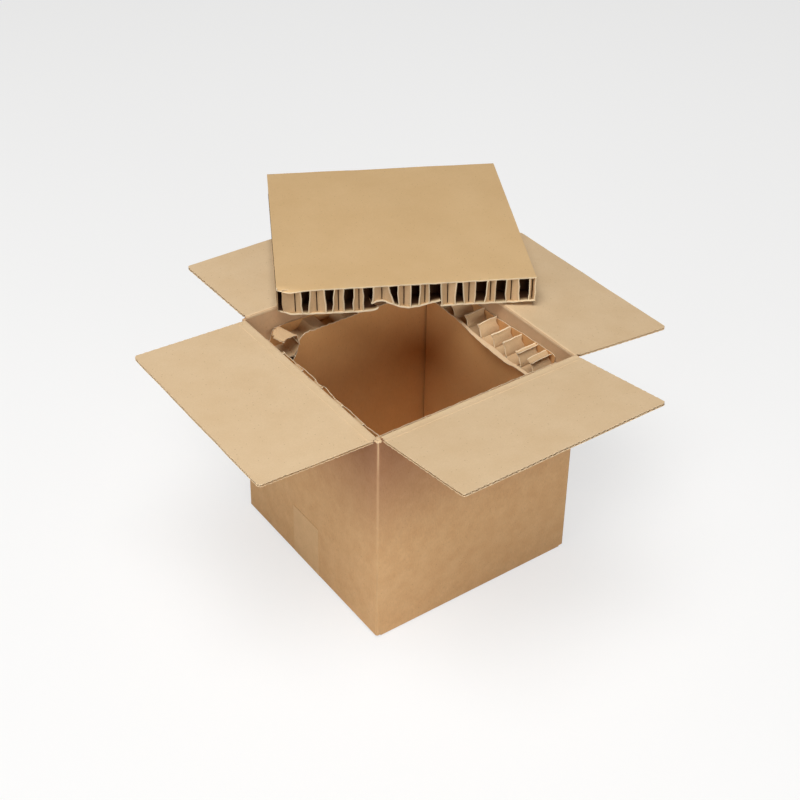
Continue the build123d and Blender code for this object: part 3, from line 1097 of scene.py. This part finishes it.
@dataclass
class CoverPad:
    """The loose honeycomb pad, cut by hand, with a torn underside and a crushed corner."""

    core: HoneycombCore
    side: float = 276.0
    panel: float = 27.0                 # thickness of the pad
    sheet: float = 0.8                  # thickness of a facing sheet
    middle: tuple[float, float] = (96.5, 163.9)        # x and y of its middle
    turn: float = -28.8                 # degrees about Z
    slope: float = -1.2                 # degrees, that of the back flap
    flap_axis: tuple[float, float] = (128.7, 258.5)    # y and z of the back flap's hinge
    flap_half: float = 1.8              # half the board and the gap to the pad
    glue_gap: float = 0.55              # open crevice on each side of a front glue line
    crushed: tuple[float, float] = (14.7, 7.5)    # worn corner, along the front and the side
    seed: int = 40
    cells: tuple[CutCell, ...] = FRONT_CELLS
    # Lower edge of the underside sheet along the front: place from the left, height. The sheet
    # is torn in three, so each tongue has its own line.
    left_tongue: Profile = ((0, -0.6), (13, -1.8), (39, -2.7), (84, -3.3), (92, -3.3), (98, -2.9),
                            (104, -1.9), (108, 0.5))
    middle_tongue: Profile = ((99, 5.4), (106, 8.6), (113, 8.2), (121, 4.1), (130, -0.2),
                              (140, -2.0), (151, -0.6), (173, 4.7))
    right_tongue: Profile = ((173, -2.0), (200, -1.6), (221, -1.9), (255, -2.2), (276, -1.7))
    tears: tuple[float, float] = (99.0, 173.5)
    sagging_reach: float = 38.0         # how far back a sagging edge of the sheet bends
    lifted_reach: float = 26.0          # how far back a lifted edge bends

    def placement(self) -> Placement:
        """Work out the pad's frame.

        Returns:
            The frame: X along its front edge, Y back, Z out of its top, with the underside at 0.
        """
        slope, turn = np.radians([self.slope, self.turn])
        normal = np.array([0, -np.sin(slope), np.cos(slope)])
        level = np.array([np.cos(turn), np.sin(turn), 0.0])
        front = level - normal * (level @ normal)
        front /= np.linalg.norm(front)
        back = np.cross(normal, front)
        height = (self.flap_axis[1] + self.flap_half / np.cos(slope)
                  + np.tan(slope) * (self.middle[1] - self.flap_axis[0]))
        corner = np.array([*self.middle, height]) - (front + back) * self.side / 2
        return Placement(tuple(corner), tuple(front), tuple(back))

    def start(self, x: Array) -> Array:
        """Depth at which the pad starts behind its front edge: 0 but for the worn corner."""
        along, deep = self.crushed
        return deep * np.clip(1 - x / along, 0, 1)

    def fade(self, line: Array, depth: Array) -> Array:
        """Work out how much of the underside's bend is left at a depth.

        Args:
            line: Height of the sheet's edge at the front.
            depth: Distance behind the front edge.

        Returns:
            A share that falls from 1 to 0 with an ease over the edge's reach.
        """
        return 1 - ease(depth / np.where(line > 0, self.lifted_reach, self.sagging_reach))

    def under(self, x: Array, depth: Array) -> Array:
        """Height of the underside sheet's middle.

        At the front it follows its tongue's measured line, which fades out behind it.

        Args:
            x: Places along the front edge.
            depth: Distance behind the front edge.

        Returns:
            The height above the flat underside.
        """
        x, depth = np.broadcast_arrays(np.asarray(x, float), np.asarray(depth, float))
        left = np.interp(x, *np.array(self.left_tongue, float).T)
        middle = np.interp(x, *np.array(self.middle_tongue, float).T)
        right = np.interp(x, *np.array(self.right_tongue, float).T)
        line = np.where(x < self.tears[0], left, np.where(x < self.tears[1], middle, right))
        return self.sheet / 2 + line * self.fade(line, depth)

    def tongue(self, x_from: Array, x_to: Array, line: Profile) -> Shell:
        """Build one tongue of the torn underside sheet.

        Args:
            x_from: Its left edge at the 30 depths of the sheet.
            x_to: Its right edge there.
            line: Its lower edge along the front.

        Returns:
            The tongue: each row runs between its two edges at one depth.
        """
        depth = self.depths()[:, None]
        share = np.linspace(0, 1, 40)[None, :]
        x = x_from[:, None] + share * (x_to - x_from)[:, None]
        level = np.interp(x, *np.array(line, float).T) + ripple(x, self.seed + 2, 17, 0.35)
        ragged = ripple(x, self.seed + 3, 9, 0.5) * np.exp(-depth / 1.5)
        y = np.maximum(depth + ragged - np.exp(-depth), self.start(x) * np.exp(-depth / 6) + depth)
        return thin_sheet(grid(x, y, self.sheet / 2 + level * self.fade(level, depth)),
                          self.sheet + 0.9 * np.exp(-depth / 1.2), self.frayed_rows(2.0))

    def frayed_rows(self, reach: float) -> Array:
        """Mark the strips of a facing sheet: pale near its cut front edge, deep inside the core.

        Args:
            reach: How far back the edge is pale, in millimetres.

        Returns:
            The marks of the strips, for the outside face and the inside face.
        """
        behind = self.depths()[1:]
        pale = np.where(behind < reach, 0.8, 0.0)
        return np.stack([pale, pale - (behind >= reach) * ease((behind - 1.0) / 7.0)])

    def depths(self) -> Array:
        """List the depths of a facing sheet's rows: close at the front, then wider apart."""
        return np.concatenate([[0, 0.7, 1.5, 2.5, 4, 6, 8.5, 11.5, 15, 19, 23.5, 28, 33, 38],
                               np.linspace(50, self.side, 16)])

    def underside(self) -> list[Shell]:
        """Build the torn underside sheet as its three tongues.

        Returns:
            The tongues, which meet edge to edge behind the tears.
        """
        depth = self.depths()
        ones = np.ones(len(depth))
        first = self.tears[0] + np.interp(depth, [0, 1.5, 3, 7, 13, 18], [6.8, 8.4, 7.2, 6.0, 2.2, 0.0])
        second = self.tears[0] + np.interp(depth, [0, 5, 14, 18], [0.4, 0.6, 0.6, 0.0])
        last = self.tears[1] * ones
        return [self.tongue(0 * ones, first, self.left_tongue),
                self.tongue(second, last, self.middle_tongue),
                self.tongue(last, self.side * ones, self.right_tongue)]

    def top(self) -> Shell:
        """Build the top sheet.

        It is flat, dips slightly at its cut front edge and more at the worn corner: the dip
        falls off with the exponential of the distance from the edge.

        Returns:
            The sheet.
        """
        x = np.concatenate([np.linspace(0, 40, 30), np.linspace(42, self.side, 90)])[None, :]
        depth = self.depths()[:, None]
        y = depth + self.start(x) * np.clip(1 - depth / 30, 0, 1)
        dip = (0.5 + ripple(x, self.seed, 26, 0.45)) * np.exp(-depth / 1.6)
        corner = 2.6 * (1 - ease((x - 6) / 34)) * np.exp(-depth / 3.5)
        wave = ripple(x + 0.6 * depth, self.seed + 1, 160, 0.35) * ease(depth / 20)
        return thin_sheet(grid(x, y, self.panel - self.sheet / 2 - dip - corner + wave),
                          self.sheet + 0.45 * np.exp(-depth / 0.7), self.frayed_rows(1.0)[::-1])

    def ribbon_line(self, number: int, upper: bool, z_share: Array) -> tuple[Array, Array]:
        """Work out where a ribbon runs.

        Behind the front cells it is the pair's glue line plus its offset for the opening share.
        The glue lines are the measured ones, and the other flats lie midway between them. In
        front of the glue line, the ribbon runs straight to its measured place on the cut.

        Args:
            number: Cell number, 0 for the one cut away beyond the left corner.
            upper: Whether this is the cell's right-hand wall.
            z_share: Shares of the ribbon's height, from foot to top.

        Returns:
            The depths, and the places along the front edge, for each depth and share.
        """
        glues = np.array([cell.glue for cell in self.cells])
        pitch = self.core.across_flats
        glues = np.concatenate([[glues[0] - pitch], glues, [glues[-1] + pitch]])
        glue = glues[number]
        neighbour = glues[number + 1] if upper else glues[max(number - 1, 0)]
        far = (neighbour + glue) / 2
        sign = 1.0 if upper else -1.0
        thick = self.core.ribbon / 2
        phase = 4.0 + self.core.side / 2
        back = self.core.stations(4.0, self.side - 0.3, phase)
        opening = self.core.opening(back, phase)
        opening[0] = 0.0
        near = glue + sign * (thick + self.glue_gap * np.exp(-(back - 4) / 9))
        line = near + opening * (far - sign * thick - near)
        sway = ripple(back, self.seed + 3 * number + upper, 90, 0.5) * ease((back - 4) / 30)
        line = np.broadcast_to((line + sway)[:, None], (len(back), len(z_share)))
        if number == 0:
            mouth = np.full(len(z_share), 0.9)
        else:
            cell = self.cells[number - 1]
            ends = (cell.right_foot, cell.right_top) if upper else (cell.left_foot, cell.left_top)
            mouth = np.interp(z_share, [0, 1], ends)
            mouth = mouth + ripple(z_share * 25 + 31 * number, self.seed + upper, 22, 0.7)
        share = np.array([0.0, 0.14, 0.3, 0.55, 0.8])[:, None]
        front = mouth[None, :] + share * (line[:1] - mouth[None, :])
        front_depth = self.start(mouth)[None, :] * (1 - share) + share * 4.0
        depth = np.concatenate([front_depth, np.broadcast_to(back[:, None], line.shape)])
        place = np.clip(np.concatenate([front, line]), 0.5, self.side - 0.5)
        return depth, place

    def ribbons(self) -> list[Shell]:
        """Build the core's ribbons between the two sheets.

        Returns:
            The ribbons. Each foot follows the underside sheet.
        """
        z_share = np.array([0.0, 0.08, 0.35, 0.65, 0.92, 1.0])
        shells = []
        for number in range(len(self.cells) + 1):
            for upper in ((True,) if number == 0 else (False, True)):
                depth, place = self.ribbon_line(number, upper, z_share)
                foot = self.under(place[:, :1], depth[:, :1]) + self.sheet / 2
                head = self.panel - self.sheet - 0.1 - 0.6 * np.exp(-depth[:, -1:] / 1.5)
                height = foot + z_share[None, :] * (head - foot)
                behind = depth.mean(axis=1)
                thick = self.core.ribbon + 0.5 * np.exp(-behind / 0.5)[:, None]
                # Pale at the cut; deeper in the cell, painted shade
                frayed = np.where(behind[1:] < 0.7, 0.85, -ease((behind[1:] - 3.0) / 5.0))
                shells.append(thin_sheet(grid(place, depth, height), thick, frayed))
        return shells

    def dress(self, facing: bpy.types.Material, ribbon: bpy.types.Material) -> None:
        """Build the three layers, give them their papers and lay them on the back flap.

        Args:
            facing: Paper of the two sheets.
            ribbon: Paper of the ribbons.
        """
        layers = (("bottom_sheet", self.underside(), facing, "facing_paper"),
                  ("core", self.ribbons(), ribbon, "ribbon_paper"),
                  ("top_sheet", [self.top()], facing, "facing_paper"))
        for layer, shells, paper, slot in layers:
            piece = build_piece(f"cover_pad_{layer}_paper", shells, self.placement())
            piece.data.materials.append(paper)
            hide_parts(f"cover_pad_{layer}")
            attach(piece, "back_flap")


@dataclass(frozen=True)
class SoftBox:
    """A rectangular soft box that faces the middle of the carton."""

    name: str
    place: Point
    width: float        # metres, level
    height: float       # metres, the other way
    power: float        # watts

    def hang(self) -> None:
        """Add the lamp: its back axis points away from the carton, its right axis is level."""
        data = bpy.data.lights.new(self.name, "AREA")
        data.shape = "RECTANGLE"
        data.size = self.width
        data.size_y = self.height
        data.energy = self.power
        lamp = bpy.data.objects.new(self.name, data)
        bpy.context.scene.collection.objects.link(lamp)
        place = np.array(self.place)
        back = place / np.linalg.norm(place)
        right = np.cross([0.0, 0.0, 1.0], back)
        right /= np.linalg.norm(right)
        matrix = np.eye(4)
        matrix[:3, 0], matrix[:3, 1], matrix[:3, 2] = right, np.cross(back, right), back
        matrix[:3, 3] = place * MM
        lamp.matrix_world = Matrix(matrix.tolist())


@dataclass
class Studio:
    """A pale floor under soft even light, and the camera."""

    camera_place: Point = (-714.81, -978.29, 1067.49)
    azimuth: float = -35.816
    elevation: float = 36.319
    roll: float = 0.952
    lens: float = 63.2457
    sky: float = 0.01                   # strength, for all that isn't seen directly
    overhead: SoftBox = SoftBox("overhead_soft_box", (-750.0, -550.0, 3200.0), 2.0, 2.0, 93.0)
    fills: tuple[SoftBox, ...] = (
        SoftBox("left_soft_box", (-3000.0, -700.0, 1120.0), 2.0, 0.9, 27.0),
        SoftBox("front_soft_box", (-700.0, -3000.0, 1120.0), 2.0, 0.9, 33.0))
    floor_colour: str = "#F4F3F1"
    floor_own_light: float = 0.66       # share of pure white in what the camera sees of it
    floor_reach: float = 12.0           # metres from the middle to each side
    floor_drop: float = 0.0004          # metres below the box, so that the two don't meet

    def camera(self) -> None:
        """Put the camera where the fitted view has it: right, up and back are its axes."""
        azimuth, elevation, roll = np.radians([self.azimuth, self.elevation, self.roll])
        back = np.array([np.sin(azimuth) * np.cos(elevation), -np.cos(azimuth) * np.cos(elevation),
                         np.sin(elevation)])
        right = np.array([np.cos(azimuth), np.sin(azimuth), 0.0])
        up = np.cross(back, right)
        turned_right = right * np.cos(roll) + up * np.sin(roll)
        turned_up = up * np.cos(roll) - right * np.sin(roll)
        data = bpy.data.cameras.new("camera")
        data.lens = self.lens
        data.sensor_width = 36.0
        data.clip_end = 50.0
        camera = bpy.data.objects.new("camera", data)
        bpy.context.scene.collection.objects.link(camera)
        matrix = np.eye(4)
        matrix[:3, 0], matrix[:3, 1], matrix[:3, 2] = turned_right, turned_up, back
        matrix[:3, 3] = np.array(self.camera_place) * MM
        camera.matrix_world = Matrix(matrix.tolist())
        bpy.context.scene.camera = camera

    def world(self) -> None:
        """Light the scene with a faint even sky, which the camera sees as pure white."""
        world = bpy.data.worlds.new("white_sky")
        world.use_nodes = True
        tree = world.node_tree
        tree.nodes.clear()
        seen = add_node(tree, "ShaderNodeLightPath")
        strength = add_node(tree, "ShaderNodeMix", {"data_type": "FLOAT"}, {2: self.sky, 3: 1.0},
                            {0: seen.outputs["Is Camera Ray"]})
        sky = add_node(tree, "ShaderNodeBackground", {}, {"Color": (1, 1, 1, 1)},
                       {"Strength": strength.outputs[0]})
        add_node(tree, "ShaderNodeOutputWorld", {}, {}, {"Surface": sky.outputs[0]})
        bpy.context.scene.world = world

    def floor(self) -> None:
        """Lay a large pale floor that the camera sees nearly white, with a soft shadow."""
        corners = [(x * self.floor_reach, y * self.floor_reach, -self.floor_drop)
                   for x, y in ((-1, -1), (1, -1), (1, 1), (-1, 1))]
        mesh = bpy.data.meshes.new("floor")
        mesh.from_pydata(corners, [], [(0, 1, 2, 3)])
        floor = bpy.data.objects.new("floor", mesh)
        bpy.context.scene.collection.objects.link(floor)
        made = bpy.data.materials.new("matt_white_studio_floor")
        made.use_nodes = True
        tree = made.node_tree
        tree.nodes.clear()
        seen = add_node(tree, "ShaderNodeLightPath")
        matt = add_node(tree, "ShaderNodeBsdfDiffuse", {}, {"Color": srgb(self.floor_colour)})
        white = add_node(tree, "ShaderNodeEmission", {}, {"Color": (1, 1, 1, 1), "Strength": 1.0})
        share = add_node(tree, "ShaderNodeMath", {"operation": "MULTIPLY"},
                         {1: self.floor_own_light}, {0: seen.outputs["Is Camera Ray"]})
        both = add_node(tree, "ShaderNodeMixShader", {}, {},
                        {0: share.outputs[0], 1: matt.outputs[0], 2: white.outputs[0]})
        add_node(tree, "ShaderNodeOutputMaterial", {}, {}, {"Surface": both.outputs[0]})
        mesh.materials.append(made)

    def build(self) -> None:
        """Set up the camera, the light and the floor."""
        bpy.context.scene.view_settings.view_transform = "Standard"
        self.camera()
        self.world()
        for soft_box in (self.overhead, *self.fills):
            soft_box.hang()
        self.floor()
        log.info("studio: ready")


def flaps() -> Iterable[Flap]:
    """Give the four top flaps, as the box stands open.

    Returns:
        The flaps.
    """
    return (Flap("right_flap", 0, 125, 257, -5.9, 246, seed=3, bow=0.6),
            Flap("back_flap", 90, 127, 260, -1.2, 242, seed=5, bow=0.0),
            Flap("left_flap", 180, 125, 257, 1.6, 246, seed=8, bow=0.5),
            Flap("front_flap", 270, 127, 260, 8.2, 242, seed=13, bow=0.4))


def liners() -> Iterable[WallLiner]:
    """Give the four wall liners, with their measured top edges and ribbons.

    Returns:
        The liners. Places run to the left along each wall, seen from inside.
    """
    small = HoneycombCore(across_flats=21.75)
    large = HoneycombCore(across_flats=23.1)
    wide = HoneycombCore(across_flats=23.2)
    left_top = ((-105, 224.8), (-91, 222.0), (-67, 222.8), (-50, 224.4), (-31, 224.5), (-25, 221.6),
                (-11, 225.6), (0, 223.6), (7, 221.9), (23, 222.6), (62, 222.4), (87, 225.2))
    right_inner = ((-90, 223.7), (-81, 223.0), (-69, 222.2), (-52, 220.6), (-34, 222.2), (1, 222.2),
                   (14, 223.8), (28, 225.4), (45, 225.0), (95, 226.0))
    right_lip = ((-90, 5.0), (-81, 4.6), (-69, 4.5), (-52, 6.1), (-34, 7.1), (-17, 6.6), (1, 4.9),
                 (14, 4.4), (28, 3.9), (44, 1.5), (60, 1.0), (95, 1.0))
    right_core = ((-100, 239.5), (-84, 238.5), (-63, 237.0), (-40, 236.5), (26, 236.0), (95, 236.0))
    right_outer = ((-100, 238.2), (-90, 242.3), (-70, 241.2), (-44, 240.2), (-21, 237.9), (3, 236.4),
                   (26, 236.0), (95, 236.0))
    back_inner = ((-122, 234.5), (64, 234.5), (70.6, 231.9), (73.5, 227.4), (74.5, 219.4),
                  (77.4, 212.1), (80.3, 207.5), (84, 201), (95, 193), (122, 190))
    level = ((-122, 235.0), (122, 235.0))
    back_outer = ((-122, 235.0), (90, 235.0), (94, 221.0), (122, 219.0))
    back_core = ((-122, 235.0), (76.8, 235.0), (77.2, 224.2), (122, 224.2))
    bends = ((1, 0.0, 7.0, 7.0), (0, 0.0, 6.3, 4.4), (-1, 0.0, 7.3, 6.8), (-2, 0.0, 6.2, 5.2),
             (-3, 3.5, 7.2, 6.2), (-4, 2.5, 7.8, 5.8), (-5, 5.5, 6.8, 6.6))
    return (
        WallLiner("right", 0, 125, 189, RibbonRun.UP_WALL, wide, phase=196.8, first_pair=19.5,
                  inner_top=right_inner, core_top=right_core, outer_top=right_outer, seed=60,
                  lip=right_lip, bends=bends, outer_rise=2.4),
        WallLiner("back", 90, 127, 243, RibbonRun.ALONG_WALL, large, phase=66.0, first_pair=222.0,
                  inner_top=back_inner, core_top=back_core, outer_top=back_outer, seed=70, torn=0.8,
                  curl=torn_curl()),
        WallLiner("left", 180, 125, 189, RibbonRun.ALONG_WALL, small, phase=-60.0, first_pair=221.5,
                  inner_top=left_top, core_top=((-100, 223.4), (100, 223.4)),
                  outer_top=((-100, 223.4), (100, 223.4)), seed=80),
        WallLiner("front", 270, 127, 243, RibbonRun.ALONG_WALL, large, phase=0.0, first_pair=233.0,
                  inner_top=level, core_top=level, outer_top=level, seed=90),
    )


def main() -> None:
    """Build the shipping box and its studio in order."""
    logging.basicConfig(level=logging.INFO, format="%(name)s: %(message)s")
    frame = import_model()
    Studio().build()
    CartonWalls(frame["nodes"]).dress()
    inside_paper = BOARD_INSIDE.material()
    for flap in flaps():
        flap.dress(inside_paper)
    CrushedCorner().build(inside_paper)
    facing = FACING.material()
    ribbon = RIBBON.material()
    lining = LINING.material()
    for liner in liners():
        liner.dress(lining, ribbon)
    CoverPad(HoneycombCore()).dress(facing, ribbon)


if __name__ == "__main__":
    main()
